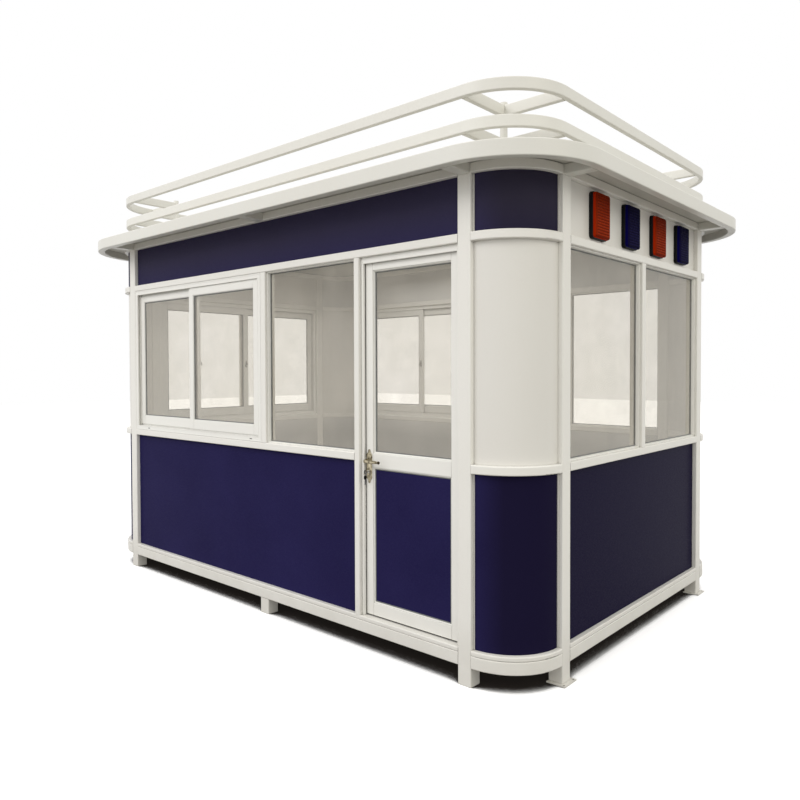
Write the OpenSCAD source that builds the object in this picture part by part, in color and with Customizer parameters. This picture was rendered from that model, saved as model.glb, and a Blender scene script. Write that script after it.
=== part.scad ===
// Security guard booth: a steel frame cabin with rounded corners, navy panels,
// glazed upper walls, a hinged door, an overhanging roof with two rail hoops
// and a row of warning lamps on one end.
// Millimetres, +Z up, origin on the ground under the middle of the booth.
// The door side faces -Y and the lamp end faces +X.

/* [Body] */
// Length over the wall posts and rounded corners
body_l = 4010; // [3600:10:5000]
// Width over the wall posts and rounded corners
body_w = 2620; // [2200:10:3200]
// Outer radius of the rounded corners
corner_r = 325; // [250:5:400]
// Side of the square posts, and depth of the wall frame
post = 80; // [70:1:100]
// Rounding of the long edges of the tubes
tube_r = 6; // [2:0.5:10]
// Height of the legs under the base beams
leg_h = 95; // [60:1:150]
// Height of the base beams
base_h = 66; // [50:1:100]
// Height of the sole rails on the base beams
sole_h = 24; // [20:1:40]
// Height of the lower wall panels
lower_h = 875; // [700:5:1000]
// Clear height of the windows
window_h = 1095; // [900:5:1300]
// Height of the upper wall panels
upper_h = 285; // [200:5:400]
// Height of the sill and lintel rails
rail_h = 45; // [35:1:60]
// Height of the top rails
top_rail_h = 50; // [40:1:60]

/* [Panels and floor] */
// Setback of the panels behind the post faces
panel_recess = 28; // [10:1:29]
// Thickness of the sandwich panels
panel_t = 50; // [30:1:50]
// Thickness of the floor deck
floor_t = 60; // [30:1:70]
// Gap between pieces that are fitted into one another
fit_gap = 0.3; // [0.1:0.1:0.5]

/* [Feet] */
// Width of the foot plates under the end posts
foot_w = 120; // [110:1:150]
// Reach of the foot plates past the wall
foot_out = 25; // [24:1:40]
// Thickness of the foot plates
foot_t = 6; // [4:1:10]
// Diameter of the anchor bolt holes
foot_hole_d = 12; // [10:1:14]
// Distance of a hole centre from the edges of its plate
foot_hole_in = 13; // [11:1:14]

/* [Windows] */
// Width of the fixed pane beside the door
fixed_w = 805; // [500:5:900]
// Width of the mullions
mullion_w = 50; // [30:1:70]
// Setback of the fixed panes behind the post faces
glass_recess = 40; // [30:1:50]
// Thickness of the glass
glass_t = 6; // [4:1:10]
// Face width of the glazing beads
bead_w = 10; // [6:1:15]
// Depth of the glazing beads
bead_t = 22; // [10:1:26]

/* [Sliding window] */
// Face width of the sliding window's outer frame
slide_frame_w = 33; // [25:1:45]
// Setback of the outer frame behind the post faces
slide_recess = 2; // [0:1:10]
// Face width of the sash stiles
sash_w = 50; // [35:1:60]
// Height of the sash top rails
sash_top_h = 46; // [35:1:60]
// Height of the sash bottom rails
sash_bottom_h = 66; // [50:1:80]
// Depth of the sashes
sash_t = 22; // [16:1:26]
// Gap between the sashes, and between them and the faces of the outer frame
track_gap = 4; // [2:0.5:6]
// Width over which the two sashes overlap
sash_overlap = 75; // [50:5:120]
// Gap over and under the sash faces
sash_gap = 10; // [6:1:14]
// Thickness of the tongues on which the sashes slide
tongue_t = 12; // [8:1:14]
// Depth of the tracks in the sill and head of the outer frame
track_depth = 12; // [8:1:16]
// Free height over the tongues in the head track
tongue_play = 4; // [2:0.5:6]
// Gap beside the tongues in their tracks
tongue_gap = 1; // [0.5:0.5:2]

/* [Door] */
// Clear width between the door post and the wall post
door_w = 690; // [650:5:800]
// Width of the post on the latch side of the door
door_post_w = 40; // [30:1:60]
// Width of the door jambs
jamb_w = 8; // [6:1:14]
// Height of the door head
head_h = 25; // [20:1:35]
// Depth of the stop lip on jambs and head
stop_t = 14; // [10:1:16]
// Reach of the stop lip past the jambs and head
stop_w = 10; // [9:1:12]
// Gap between the stop lip and the leaf
stop_gap = 6; // [5:0.5:8]
// Thickness of the leaf
leaf_t = 40; // [36:1:46]
// Gap at the latch edge of the leaf
latch_gap = 8; // [7:0.5:9]
// Gap at the hinge edge of the leaf
hinge_gap = 6; // [5:0.5:8]
// Gap over and under the leaf
leaf_play = 7; // [5:0.5:10]
// Width of the leaf's stiles
stile_w = 55; // [50:1:70]
// Height of the leaf's top rail
leaf_top_h = 42; // [35:1:70]
// Height of the leaf's middle rail
leaf_mid_h = 80; // [70:1:100]
// Height of the leaf's bottom rail
leaf_bottom_h = 70; // [50:1:120]
// Thickness of the leaf's lower panel
leaf_panel_t = 20; // [10:1:30]

/* [Door furniture] */
// Height of the lever spindle over the underside of the middle rail
lever_up = 37; // [30:1:50]
// Length of the levers
lever_l = 118; // [90:1:140]
// Diameter of the levers
lever_d = 17; // [14:1:18]
// Radius of the bend between a lever and its neck
lever_bend = 16; // [14:1:20]
// Diameter of the lever necks
neck_d = 20; // [19:1:24]
// Reach of the levers from the leaf
lever_reach = 54; // [48:1:64]
// Diameter of the spindle through the leaf
spindle_d = 11; // [8:1:12]
// Width of the handle plates
plate_w = 40; // [34:1:42]
// Height of the handle plates
plate_h = 190; // [170:1:220]
// Height of the pointed ends of the handle plates
plate_tip = 28; // [20:1:35]
// Diameter of the round end of each point
finial_d = 12; // [8:1:16]
// Thickness of the handle plates
plate_t = 6; // [4:1:8]
// Height from the lock cylinder to the spindle
lock_drop = 62; // [55:1:75]
// Diameter of the lock cylinder
lock_d = 17; // [14:1:20]
// How far the lock cylinder stands out of the plates
lock_out = 4; // [2:1:8]
// Number of hinges on the door
hinge_count = 3; // [2:1:4]
// Distance from the ends of the leaf to the nearest hinges
hinge_inset = 240; // [150:5:400]
// Diameter of the hinge barrels
barrel_d = 14; // [12:1:15]
// Length of one barrel of a hinge
barrel_l = 42; // [30:1:60]
// Gap between the barrels and the back of the leaf
barrel_gap = 1; // [0.5:0.5:2]
// Diameter of the hinge pins
pin_d = 8; // [6:1:9]
// Width of a hinge flap
flap_w = 34; // [25:1:40]
// Thickness of a hinge flap
flap_t = 2.5; // [2:0.5:4]
// Running gap round pins, spindle and necks
run_gap = 0.3; // [0.2:0.1:0.5]

/* [Roof] */
// Reach of the eave past the walls
overhang = 200; // [120:5:300]
// Height of the fascia
fascia_h = 80; // [76:1:120]
// Thickness of the fascia
fascia_t = 50; // [30:1:60]
// Thickness of the roof deck
roof_t = 25; // [15:1:26]
// Width of the outriggers under the eave
outrigger_w = 70; // [40:1:80]

/* [Roof hoops] */
// Gap between the roof deck and the lower hoop
lower_hoop_gap = 127; // [60:1:200]
// Gap between the two hoops
hoop_gap = 118; // [60:1:250]
// Outer radius of the hoop corners
hoop_r = 370; // [330:5:450]
// Height of the hoop tube
hoop_h = 60; // [40:1:80]
// Thickness of the hoop tube
hoop_t = 30; // [24:1:40]
// Diameter of the uprights
upright_d = 40; // [32:1:50]
// How far the uprights stand over the upper hoop
upright_rise = 16; // [0:1:30]
// Diameter of the flange under each upright
flange_d = 110; // [80:1:150]
// Thickness of the flange
flange_t = 8; // [5:1:12]

/* [Lamps] */
// Number of lamps, red and blue in turn
lamp_count = 4; // [2:1:6]
// Width of a lamp
lamp_w = 178; // [150:1:220]
// Offset of the row of lamps from the middle of the wall
lamp_shift = 26; // [-40:1:40]
// Gap between a lamp and the rails over and under it
lamp_gap = 19; // [15:1:40]
// Depth of a lamp housing
lamp_d = 22; // [20:1:60]
// Corner radius of a lamp
lamp_r = 20; // [12:1:40]
// Width of the housing's rim round the lens
lamp_rim = 4; // [3:1:10]
// Depth of the seat of the lens in its housing
lens_seat = 12; // [8:1:16]
// How far the lens stands out of its housing
lens_out = 20; // [8:1:30]
// Distance between the ribs on a lens
rib_pitch = 10; // [8:1:16]
// Height of the ribs on a lens
rib_r = 3; // [2:0.5:3.5]

/* [Hidden] */
$fn = 64;

ivory = [0.87, 0.86, 0.81];
navy = [0.09, 0.08, 0.24];
pane = [0.75, 0.80, 0.80, 0.4];
bronze = [0.55, 0.45, 0.33];

// Overlap of a cut past the faces that it goes through
past = 1;

// Half sizes, and the inner faces of the posts
half_l = body_l / 2;
half_w = body_w / 2;
side_x = half_l - corner_r - post;
end_y = half_w - corner_r - post;

// Levels from the ground up
beam_top = leg_h + base_h;
base_top = beam_top + sole_h;
sill_z = base_top + lower_h;
sill_top = sill_z + rail_h;
lintel_z = sill_top + window_h;
lintel_top = lintel_z + rail_h;
eave_z = lintel_top + upper_h;
frame_top = eave_z + top_rail_h;
roof_top = frame_top + roof_t;
lower_hoop_z = roof_top + lower_hoop_gap;
upper_hoop_z = lower_hoop_z + hoop_h + hoop_gap;
hoop_top = upper_hoop_z + hoop_h;

// Lower and upper edge of the sole, sill, lintel and top rails
rail_levels = [[beam_top, base_top], [sill_z, sill_top], [lintel_z, lintel_top], [eave_z, frame_top]];

// Back of the panels
panel_back = panel_recess + panel_t;

// Divisions of the long walls, from the door leftward
door_x0 = side_x - door_w;
door_post_x0 = door_x0 - door_post_w;
mullion_x1 = door_post_x0 - fixed_w;
mullion_x0 = mullion_x1 - mullion_w;
mid_leg_x = (mullion_x0 + mullion_x1) / 2;

// Two panes side by side with a mullion between them
function pane_pair(x0, x1) =
  let (mid = (x0 + x1) / 2, half = mullion_w / 2)
  [[x0, mid - half], [mid + half, x1]];

// Fixed panes in each wall: one beside the door, a pair at the back and a pair in the lamp end
front_panes = [[mullion_x1, door_post_x0]];
back_panes = pane_pair(mullion_x1, side_x);
end_panes = pane_pair(-end_y, end_y);

// Sliding windows: span in a long wall and in the end wall, levels and setbacks
side_slide = [-side_x, mullion_x0];
end_slide = [-end_y, end_y];
slide_z0 = sill_top + slide_frame_w;
slide_z1 = lintel_z - slide_frame_w;
slide_depth = 2 * sash_t + 3 * track_gap;
sash_z0 = slide_z0 + sash_gap;
sash_z1 = slide_z1 - sash_gap;
outer_sash = slide_recess + track_gap;
inner_sash = outer_sash + sash_t + track_gap;

// Length of one sash in a sliding window with the given span
function sash_l(span) = (span[1] - span[0] - 2 * slide_frame_w + sash_overlap) / 2;

// Left edge and setback of each sash: the outer one is on the right
function sash_places(span) = [
  [span[0] + slide_frame_w, inner_sash],
  [span[1] - slide_frame_w - sash_l(span), outer_sash]
];

// Door leaf, flush with the inner faces of the posts, and its hinge axis
leaf_x0 = door_x0 + jamb_w + latch_gap;
leaf_x1 = side_x - jamb_w - hinge_gap;
leaf_z0 = base_top + leaf_play;
leaf_z1 = lintel_z - head_h - leaf_play;
leaf_recess = post - leaf_t;
leaf_mid_z = sill_top - leaf_mid_h;
stop_recess = leaf_recess - stop_gap - stop_t;
hinge_x = leaf_x1 + hinge_gap / 2;
hinge_depth = post + barrel_gap + barrel_d / 2;
hinge_step = (leaf_z1 - leaf_z0 - 2 * hinge_inset) / (hinge_count - 1);
hinge_levels = [for (i = [0:hinge_count - 1]) leaf_z0 + hinge_inset + i * hinge_step];

// Lever spindle and lock cylinder
lever_x = leaf_x0 + stile_w / 2;
lever_z = leaf_mid_z + lever_up;
lock_z = lever_z - lock_drop;

// Centres of the rounded corners of the walls and of the hoops, and the uprights
corner_cx = half_l - corner_r;
corner_cy = half_w - corner_r;
hoop_cx = half_l - hoop_r;
hoop_cy = half_w - hoop_r;
upright_x = hoop_cx - hoop_t / 2;
upright_y = hoop_cy - hoop_t / 2;

// Lamps, spread evenly over the upper panel of the lamp end
lamp_h = upper_h - 2 * lamp_gap;
lamp_z = lintel_top + upper_h / 2;
lamp_pitch = lamp_w + (2 * end_y - lamp_count * lamp_w) / (lamp_count + 1);
lens_w = lamp_w - 2 * (lamp_rim + fit_gap);
lens_h = lamp_h - 2 * (lamp_rim + fit_gap);
lens_r = lamp_r - lamp_rim - fit_gap;

// Places its child in a wall: X along the wall, Y inward from the post faces, Z up
module at_front() {
  translate([0, -half_w, 0]) children();
}

module at_back() {
  mirror([0, 1, 0]) at_front() children();
}

module at_right() {
  translate([half_l, 0, 0]) rotate([0, 0, 90]) children();
}

module at_left() {
  mirror([1, 0, 0]) at_right() children();
}

module on_sides() {
  at_front() children();
  at_back() children();
}

module on_ends() {
  at_right() children();
  at_left() children();
}

// Copies its child into each wall with a sliding window, with $span as the window's ends:
// both long walls and the end wall away from the lamps
module at_slides() {
  on_sides() let ($span = side_slide) children();
  at_left() let ($span = end_slide) children();
}

// Copies its child, made in the +X +Y corner, into all four corners
module four_corners() {
  for (mx = [0, 1], my = [0, 1])
    mirror([mx, 0, 0]) mirror([0, my, 0]) children();
}

// Box between two opposite corners
module slab(low, high) {
  translate(low) cube(high - low);
}

// Rounded rectangle centred on the origin
module rounded_rect(l, w, r) {
  square([l - 2 * r, w], center = true);
  square([l, w - 2 * r], center = true);
  for (sx = [-1, 1], sy = [-1, 1])
    translate([sx * (l / 2 - r), sy * (w / 2 - r)]) circle(r);
}

// Tube between two opposite corners, with rounded edges along one axis
module tube(low, high, along) {
  size = high - low;
  translate((low + high) / 2) {
    if (along == "x")
      rotate([90, 0, 90]) linear_extrude(size.x, center = true) rounded_rect(size.y, size.z, tube_r);
    if (along == "y")
      rotate([90, 0, 0]) linear_extrude(size.y, center = true) rounded_rect(size.x, size.z, tube_r);
    if (along == "z")
      linear_extrude(size.z, center = true) rounded_rect(size.x, size.y, tube_r);
  }
}

// Bent tube in the +X +Y corner: centre, outer radius, thickness and levels
module bent_tube(cx, cy, r, t, z0, z1) {
  translate([cx, cy, (z0 + z1) / 2])
    rotate_extrude(angle = 90)
      translate([r - t / 2, 0]) rounded_rect(t, z1 - z0, tube_r);
}

// Bent panel in the +X +Y corner, between two levels
module bent_panel(z0, z1) {
  translate([corner_cx, corner_cy, z0])
    rotate_extrude(angle = 90)
      translate([corner_r - panel_back, 0]) square([panel_t, z1 - z0]);
}

// Flat panel in a wall
module wall_panel(x0, x1, z0, z1) {
  slab([x0, panel_recess, z0], [x1, panel_back, z1]);
}

// Sole, sill, lintel and top rail across a wall
module wall_rails(half) {
  for (level = rail_levels)
    tube([-half, 0, level[0]], [half, post, level[1]], "x");
}

// Rectangular frame in a wall, with its face width given for the sides, bottom and top
module ring(low, high, side, bottom, top) {
  difference() {
    slab(low, high);
    slab([low.x + side, low.y - past, low.z + bottom], [high.x - side, high.y + past, high.z - top]);
  }
}

module base_beams() {
  color(ivory) {
    on_sides() tube([-side_x, 0, leg_h], [side_x, post, beam_top], "x");
    on_ends() tube([-end_y, 0, leg_h], [end_y, post, beam_top], "x");
    four_corners() bent_tube(corner_cx, corner_cy, corner_r, post, leg_h, beam_top);
  }
}

module floor_deck() {
  inset = 2 * (post + fit_gap);
  color([0.55, 0.55, 0.53])
    translate([0, 0, base_top - floor_t])
      linear_extrude(floor_t)
        rounded_rect(body_l - inset, body_w - inset, corner_r - post - fit_gap);
}

// Each plate runs out past the wall, with a hole there near each of its corners
module foot_plates() {
  half = foot_w / 2;
  edge = half - foot_hole_in;
  color(ivory)
    for (m = [0, 1])
      mirror([0, m, 0]) on_ends()
        translate([end_y + post / 2, -foot_out, 0])
          difference() {
            slab([-half, 0, 0], [half, foot_out + post, foot_t]);
            for (s = [-1, 1])
              translate([s * edge, foot_hole_in, -past]) cylinder(d = foot_hole_d, h = foot_t + 2 * past);
          }
}

module mid_legs() {
  half = post / 2;
  color(ivory)
    on_sides() tube([mid_leg_x - half, 0, 0], [mid_leg_x + half, post, leg_h], "z");
}

module side_posts() {
  color(ivory)
    for (m = [0, 1])
      mirror([m, 0, 0]) on_sides() tube([side_x, 0, 0], [side_x + post, post, frame_top], "z");
}

module end_posts() {
  color(ivory)
    for (m = [0, 1])
      mirror([0, m, 0]) on_ends() tube([end_y, 0, foot_t], [end_y + post, post, frame_top], "z");
}

module door_post() {
  color(ivory)
    at_front() tube([door_post_x0, 0, base_top], [door_x0, post, lintel_z], "z");
}

// The sill rail of the front wall stops at the door
module front_rails() {
  color(ivory)
    at_front()
      for (level = rail_levels) {
        x1 = level[0] == sill_z ? door_post_x0 : side_x;
        tube([-side_x, 0, level[0]], [x1, post, level[1]], "x");
      }
}

module back_rails() {
  color(ivory) at_back() wall_rails(side_x);
}

module end_rails() {
  color(ivory) on_ends() wall_rails(end_y);
}

module corner_rails() {
  color(ivory)
    four_corners()
      for (level = rail_levels)
        bent_tube(corner_cx, corner_cy, corner_r, post, level[0], level[1]);
}

// Upright between two panes, given by its middle
module mullion(mid) {
  half = mullion_w / 2;
  tube([mid - half, 0, sill_top], [mid + half, post, lintel_z], "z");
}

module window_mullions() {
  color(ivory) {
    at_front() mullion(mid_leg_x);
    at_back() {
      mullion(mid_leg_x);
      mullion((mullion_x1 + side_x) / 2);
    }
    at_right() mullion(0);
  }
}

module side_lower_panels() {
  color(navy) {
    at_front() wall_panel(-side_x, door_post_x0, base_top, sill_z);
    at_back() wall_panel(-side_x, side_x, base_top, sill_z);
  }
}

module side_upper_panels() {
  color(navy) on_sides() wall_panel(-side_x, side_x, lintel_top, eave_z);
}

module end_lower_panels() {
  color(navy) on_ends() wall_panel(-end_y, end_y, base_top, sill_z);
}

module end_upper_panels() {
  color(ivory) on_ends() wall_panel(-end_y, end_y, lintel_top, eave_z);
}

module corner_navy_panels() {
  color(navy)
    four_corners() {
      bent_panel(base_top, sill_z);
      bent_panel(lintel_top, eave_z);
    }
}

module corner_white_panels() {
  color(ivory) four_corners() bent_panel(sill_top, lintel_z);
}

module fixed_panes(places) {
  for (p = places)
    slab([p[0], glass_recess, sill_top], [p[1], glass_recess + glass_t, lintel_z]);
}

module fixed_glass() {
  color(pane) {
    at_front() fixed_panes(front_panes);
    at_back() fixed_panes(back_panes);
    at_right() fixed_panes(end_panes);
  }
}

// Beads on both faces of each fixed pane
module pane_beads(places) {
  for (p = places, d = [glass_recess - bead_t, glass_recess + glass_t])
    ring([p[0], d, sill_top], [p[1], d + bead_t, lintel_z], bead_w, bead_w, bead_w);
}

module glazing_beads() {
  color(ivory) {
    at_front() pane_beads(front_panes);
    at_back() pane_beads(back_panes);
    at_right() pane_beads(end_panes);
  }
}

// Outer frame with a track for each sash in its sill and head
module slide_surround(span) {
  low = [span[0], slide_recess, sill_top];
  high = [span[1], slide_recess + slide_depth, lintel_z];
  track_w = tongue_t + 2 * tongue_gap;
  difference() {
    ring(low, high, slide_frame_w, slide_frame_w, slide_frame_w);
    for (p = sash_places(span))
      translate([0, p[1] + (sash_t - track_w) / 2, 0])
        slab([span[0] + slide_frame_w, 0, slide_z0 - track_depth],
             [span[1] - slide_frame_w, track_w, slide_z1 + track_depth]);
  }
}

module sliding_frame() {
  color(ivory) at_slides() slide_surround($span);
}

// Each sash stands on a tongue in the sill track and has another in the head track
module sash(l) {
  tongue = (sash_t - tongue_t) / 2;
  ring([0, 0, sash_z0], [l, sash_t, sash_z1], sash_w, sash_bottom_h, sash_top_h);
  slab([0, tongue, slide_z0 - track_depth], [l, tongue + tongue_t, sash_z0]);
  slab([0, tongue, sash_z1], [l, tongue + tongue_t, slide_z1 + track_depth - tongue_play]);
}

module sashes() {
  color(ivory)
    at_slides()
      for (p = sash_places($span))
        translate([p[0], p[1], 0]) sash(sash_l($span));
}

module sash_glass() {
  color(pane)
    at_slides()
      for (p = sash_places($span))
        translate([p[0], p[1] + (sash_t - glass_t) / 2, 0])
          slab([sash_w, 0, sash_z0 + sash_bottom_h],
               [sash_l($span) - sash_w, glass_t, sash_z1 - sash_top_h]);
}

// Jamb with a stop lip in front of the leaf, made at the latch side
module door_jamb() {
  slab([0, stop_recess, base_top], [jamb_w, post, lintel_z]);
  slab([0, stop_recess, base_top], [jamb_w + stop_w, stop_recess + stop_t, lintel_z - head_h]);
}

// Two jambs and a head that is fitted between them
module door_frame() {
  head_x0 = jamb_w + fit_gap;
  lip_x0 = jamb_w + stop_w + fit_gap;
  head_z0 = lintel_z - head_h + fit_gap;
  color(ivory)
    at_front() {
      translate([door_x0, 0, 0]) door_jamb();
      translate([side_x, 0, 0]) mirror([1, 0, 0]) door_jamb();
      slab([door_x0 + head_x0, stop_recess, head_z0], [side_x - head_x0, post, lintel_z]);
      slab([door_x0 + lip_x0, stop_recess, lintel_z - head_h - stop_w],
           [side_x - lip_x0, stop_recess + stop_t, lintel_z]);
    }
}

// Bores through the leaf for the lever spindle and the lock cylinder
module leaf_bores(spindle, lock) {
  for (bore = [[lever_z, spindle], [lock_z, lock]])
    translate([lever_x, leaf_recess - lever_reach, bore[0]])
      rotate([-90, 0, 0]) cylinder(d = bore[1], h = leaf_t + 2 * lever_reach);
}

// Stiles and three rails
module door_leaf() {
  color(ivory)
    at_front()
      difference() {
        slab([leaf_x0, leaf_recess, leaf_z0], [leaf_x1, post, leaf_z1]);
        slab([leaf_x0 + stile_w, leaf_recess - past, leaf_z0 + leaf_bottom_h],
             [leaf_x1 - stile_w, post + past, leaf_mid_z]);
        slab([leaf_x0 + stile_w, leaf_recess - past, sill_top],
             [leaf_x1 - stile_w, post + past, leaf_z1 - leaf_top_h]);
        leaf_bores(spindle_d + 2 * run_gap, lock_d + 2 * run_gap);
      }
}

module door_glass() {
  d0 = leaf_recess + (leaf_t - glass_t) / 2;
  color(pane)
    at_front()
      slab([leaf_x0 + stile_w, d0, sill_top], [leaf_x1 - stile_w, d0 + glass_t, leaf_z1 - leaf_top_h]);
}

module door_panel() {
  d0 = leaf_recess + (leaf_t - leaf_panel_t) / 2;
  color(navy)
    at_front()
      slab([leaf_x0 + stile_w, d0, leaf_z0 + leaf_bottom_h], [leaf_x1 - stile_w, d0 + leaf_panel_t, leaf_mid_z]);
}

// Copies its child, made against the outer face of the leaf, to the inner face too
module both_faces() {
  children();
  translate([0, leaf_recess + post, 0]) mirror([0, 1, 0]) children();
}

// Long plate with a rounded point at each end
module plate_outline() {
  body = plate_h / 2 - plate_tip;
  square([plate_w, 2 * body], center = true);
  for (s = [-1, 1]) {
    polygon([[-plate_w / 2, s * body], [plate_w / 2, s * body], [0, s * plate_h / 2]]);
    translate([0, s * (plate_h - finial_d) / 2]) circle(d = finial_d);
  }
}

module handle_plates() {
  color(bronze)
    at_front()
      difference() {
        both_faces()
          translate([lever_x, leaf_recess, (lever_z + lock_z) / 2])
            rotate([90, 0, 0]) linear_extrude(plate_t) plate_outline();
        leaf_bores(neck_d + 2 * run_gap, lock_d + 2 * run_gap);
      }
}

// Lock cylinder, standing a little out of both plates
module lock_cylinder() {
  reach = plate_t + lock_out;
  color("silver")
    at_front()
      translate([lever_x, leaf_recess - reach, lock_z])
        rotate([-90, 0, 0]) cylinder(d = lock_d, h = leaf_t + 2 * reach);
}

// Neck, bend and grip of one lever, the grip towards the hinges
module lever() {
  neck = lever_reach - lever_bend - lever_d / 2;
  grip = lever_l - lever_bend - lever_d / 2;
  rotate([90, 0, 0]) cylinder(d = neck_d, h = neck);
  translate([lever_bend, -neck, 0]) {
    rotate([0, 0, 180]) rotate_extrude(angle = 90) translate([lever_bend, 0]) circle(d = lever_d);
    translate([0, -lever_bend, 0]) rotate([0, 90, 0]) cylinder(d = lever_d, h = grip);
    translate([grip, -lever_bend, 0]) sphere(d = lever_d);
  }
}

// Two levers on one spindle
module levers() {
  color(bronze)
    at_front() {
      both_faces() translate([lever_x, leaf_recess, lever_z]) lever();
      translate([lever_x, leaf_recess - past, lever_z])
        rotate([-90, 0, 0]) cylinder(d = spindle_d, h = leaf_t + 2 * past);
    }
}

// Fixed half of each hinge: flap on jamb and post, lower barrel and the pin
module hinge_pins() {
  color(ivory)
    at_front()
      for (z = hinge_levels) {
        slab([hinge_x, post, z - barrel_l], [hinge_x + flap_w, post + flap_t, z]);
        translate([hinge_x, hinge_depth, z - barrel_l]) cylinder(d = barrel_d, h = barrel_l);
        translate([hinge_x, hinge_depth, z - past]) cylinder(d = pin_d, h = barrel_l);
      }
}

// Swinging half of each hinge: flap on the leaf and the upper barrel
module hinge_barrels() {
  color(ivory)
    at_front()
      for (z = hinge_levels)
        difference() {
          union() {
            slab([hinge_x - flap_w, post, z + run_gap], [hinge_x, post + flap_t, z + barrel_l]);
            translate([hinge_x, hinge_depth, z + run_gap]) cylinder(d = barrel_d, h = barrel_l - run_gap);
          }
          translate([hinge_x, hinge_depth, z - past])
            cylinder(d = pin_d + 2 * run_gap, h = barrel_l + 2 * past);
        }
}

module roof_deck() {
  inset = fascia_t + fit_gap - overhang;
  color(ivory)
    translate([0, 0, frame_top])
      linear_extrude(roof_t)
        rounded_rect(body_l - 2 * inset, body_w - 2 * inset, corner_r - inset);
}

// Straight runs of the fascia, outside the wall line by the overhang
module eave_fascia() {
  z1 = eave_z + fascia_h;
  color(ivory) {
    on_sides() tube([-corner_cx, -overhang, eave_z], [corner_cx, fascia_t - overhang, z1], "x");
    on_ends() tube([-corner_cy, -overhang, eave_z], [corner_cy, fascia_t - overhang, z1], "x");
  }
}

module eave_bends() {
  color(ivory)
    four_corners()
      bent_tube(corner_cx, corner_cy, corner_r + overhang, fascia_t, eave_z, eave_z + fascia_h);
}

// Tube from the wall out to the fascia
module outrigger(mid) {
  half = outrigger_w / 2;
  tube([mid - half, fascia_t - overhang, eave_z], [mid + half, 0, frame_top], "y");
}

module outriggers() {
  color(ivory) {
    on_sides()
      for (mid = [-side_x - post / 2, mullion_x0, side_x + post / 2])
        outrigger(mid);
    on_ends()
      for (s = [-1, 1])
        outrigger(s * (end_y + post / 2));
  }
}

// Straight runs of a hoop
module hoop_runs(z) {
  on_sides() tube([-hoop_cx, 0, z], [hoop_cx, hoop_t, z + hoop_h], "x");
  on_ends() tube([-hoop_cy, 0, z], [hoop_cy, hoop_t, z + hoop_h], "x");
}

module lower_hoop() {
  color(ivory) hoop_runs(lower_hoop_z);
}

module upper_hoop() {
  color(ivory) hoop_runs(upper_hoop_z);
}

module hoop_bends() {
  color(ivory)
    four_corners()
      for (z = [lower_hoop_z, upper_hoop_z])
        bent_tube(hoop_cx, hoop_cy, hoop_r, hoop_t, z, z + hoop_h);
}

// Two bars in each corner of each hoop tie the ends of the runs to the upright
module hoop_braces() {
  half = hoop_t / 2;
  color(ivory)
    four_corners()
      difference() {
        for (z = [lower_hoop_z, upper_hoop_z]) {
          tube([upright_x - half, upright_y, z], [upright_x + half, half_w - hoop_t, z + hoop_h], "y");
          tube([upright_x + half + fit_gap, upright_y - half, z],
               [half_l - hoop_t, upright_y + half, z + hoop_h], "x");
        }
        translate([upright_x, upright_y, roof_top])
          cylinder(d = upright_d + 2 * fit_gap, h = hoop_top - roof_top + past);
      }
}

module hoop_uprights() {
  color(ivory)
    four_corners()
      translate([upright_x, upright_y, roof_top]) {
        cylinder(d = flange_d, h = flange_t);
        cylinder(d = upright_d, h = hoop_top + upright_rise - roof_top);
      }
}

// Places its child at the lamps in the given list, facing out of the lamp end
module at_lamps(list) {
  at_right()
    for (i = list)
      translate([lamp_shift + (i - (lamp_count - 1) / 2) * lamp_pitch, panel_recess, lamp_z])
        rotate([90, 0, 0]) children();
}

module lamp_housings() {
  color([0.05, 0.05, 0.06])
    at_lamps([0:lamp_count - 1])
      difference() {
        linear_extrude(lamp_d) rounded_rect(lamp_w, lamp_h, lamp_r);
        translate([0, 0, lamp_d - lens_seat])
          linear_extrude(lens_seat + past)
            rounded_rect(lamp_w - 2 * lamp_rim, lamp_h - 2 * lamp_rim, lamp_r - lamp_rim);
      }
}

// Lens with half round ribs across its face
module lamp_lens() {
  face = lamp_d + lens_out - rib_r;
  rib_l = lens_w - 2 * lens_r;
  rib_count = floor((lens_h - 2 * lens_r) / rib_pitch);
  translate([0, 0, lamp_d - lens_seat])
    linear_extrude(face - lamp_d + lens_seat) rounded_rect(lens_w, lens_h, lens_r);
  for (i = [0:rib_count])
    translate([-rib_l / 2, (i - rib_count / 2) * rib_pitch, face])
      rotate([0, 90, 0]) cylinder(r = rib_r, h = rib_l);
}

module red_lenses() {
  color([0.60, 0.08, 0.04]) at_lamps([0:2:lamp_count - 1]) lamp_lens();
}

module blue_lenses() {
  color([0.05, 0.05, 0.30]) at_lamps([1:2:lamp_count - 1]) lamp_lens();
}

base_beams();
floor_deck();
foot_plates();
mid_legs();
side_posts();
end_posts();
door_post();
front_rails();
back_rails();
end_rails();
corner_rails();
window_mullions();
side_lower_panels();
side_upper_panels();
end_lower_panels();
end_upper_panels();
corner_navy_panels();
corner_white_panels();
fixed_glass();
glazing_beads();
sliding_frame();
sashes();
sash_glass();
door_frame();
door_leaf();
door_glass();
door_panel();
handle_plates();
lock_cylinder();
levers();
hinge_pins();
hinge_barrels();
roof_deck();
eave_fascia();
eave_bends();
outriggers();
lower_hoop();
upper_hoop();
hoop_bends();
hoop_braces();
hoop_uprights();
lamp_housings();
red_lenses();
blue_lenses();
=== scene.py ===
from math import cos, pi, radians, sin

import bmesh
import bpy
from mathutils import Matrix, Vector


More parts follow.
